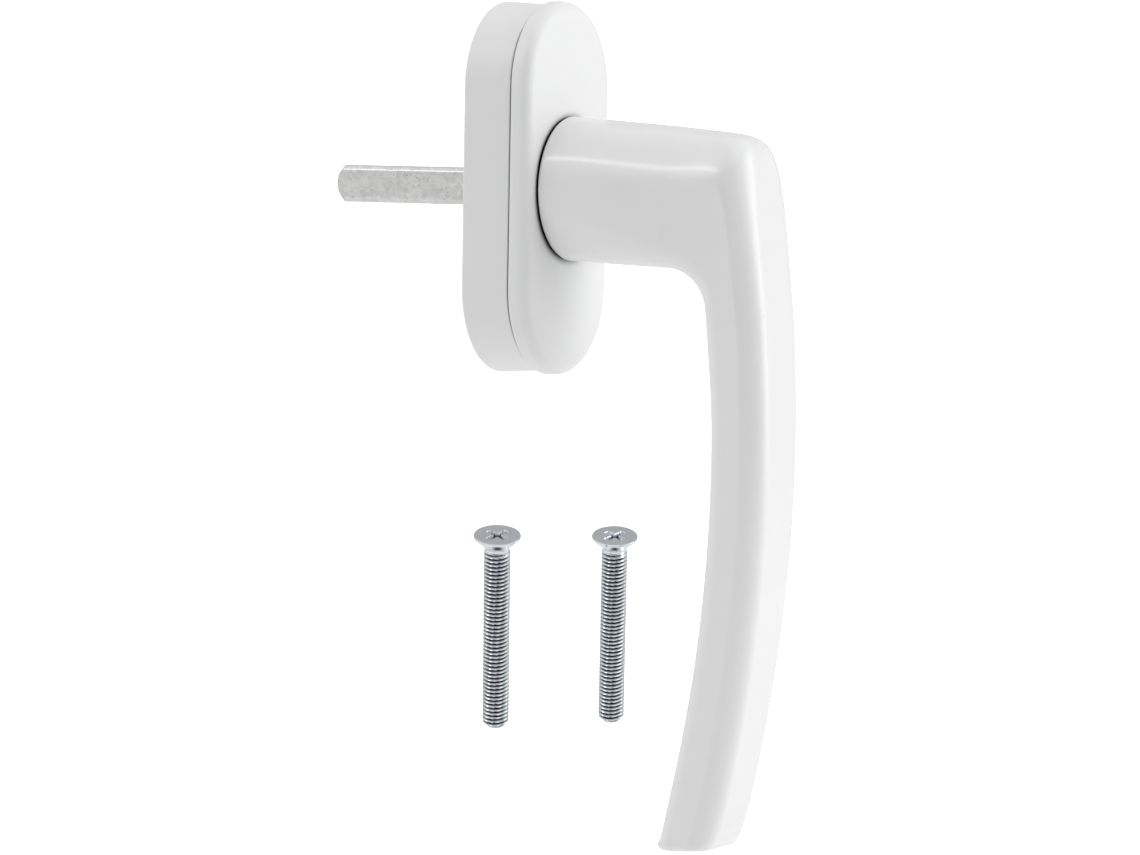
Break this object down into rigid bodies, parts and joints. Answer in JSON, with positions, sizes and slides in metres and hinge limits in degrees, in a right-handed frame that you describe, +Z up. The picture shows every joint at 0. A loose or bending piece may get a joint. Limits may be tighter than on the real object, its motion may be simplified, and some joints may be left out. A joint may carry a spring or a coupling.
{
  "type": "window handle",
  "caption": "White tilt-and-turn window handle: bowed grip on an oval rosette with a turning cover cap, square spindle and loose countersunk fixing screws.",
  "frame": {"origin": "where the spindle's axis meets the sash face, at the middle of the rosette's back", "axes": "+X to the right as seen from the room, +Y into the sash along the spindle, +Z up; the grip hangs to -Z"},
  "size_m": [0.0571, 0.094, 0.1569],
  "materials": {
    "powder_coat": "satin white powder coat",
    "white_plastic": "satin moulded",
    "acetal": "smooth moulded",
    "spindle_steel": "dull zinc plate on drawn bar",
    "screw_steel": "bright blue zinc plate",
    "zinc_steel": "zinc plated sheet",
    "spring_steel": "plain hardened spring steel"
  },
  "bodies": {
    "rosette": {"rosette_base": "white_plastic", "bearing_bush": "acetal", "detent_spring_left": "spring_steel", "detent_spring_right": "spring_steel", "retaining_plate": "zinc_steel", "plate_screws": "zinc_steel", "fixing_screws": "screw_steel", "thrust_washer": "zinc_steel"},
    "lever": {"grip": "powder_coat", "spindle": "spindle_steel", "spindle_pin": "spring_steel", "detent_cam": "zinc_steel", "retaining_ring": "spring_steel", "spring_washer": "spring_steel"},
    "cap": {"cover_cap": "white_plastic"}
  },
  "joints": [
    {"name": "lever_turn", "type": "hinge", "parent": "rosette", "child": "lever", "pos_m": [0, 0, 0], "axis": [0, 1, 0], "continuous": true, "deforming": ["detent_spring_left", "detent_spring_right"]},
    {"name": "cap_turn", "type": "hinge", "parent": "rosette", "child": "cap", "pos_m": [0, -0.011, 0], "axis": [0, 1, 0], "range_deg": [-90, 90]}
  ]
}
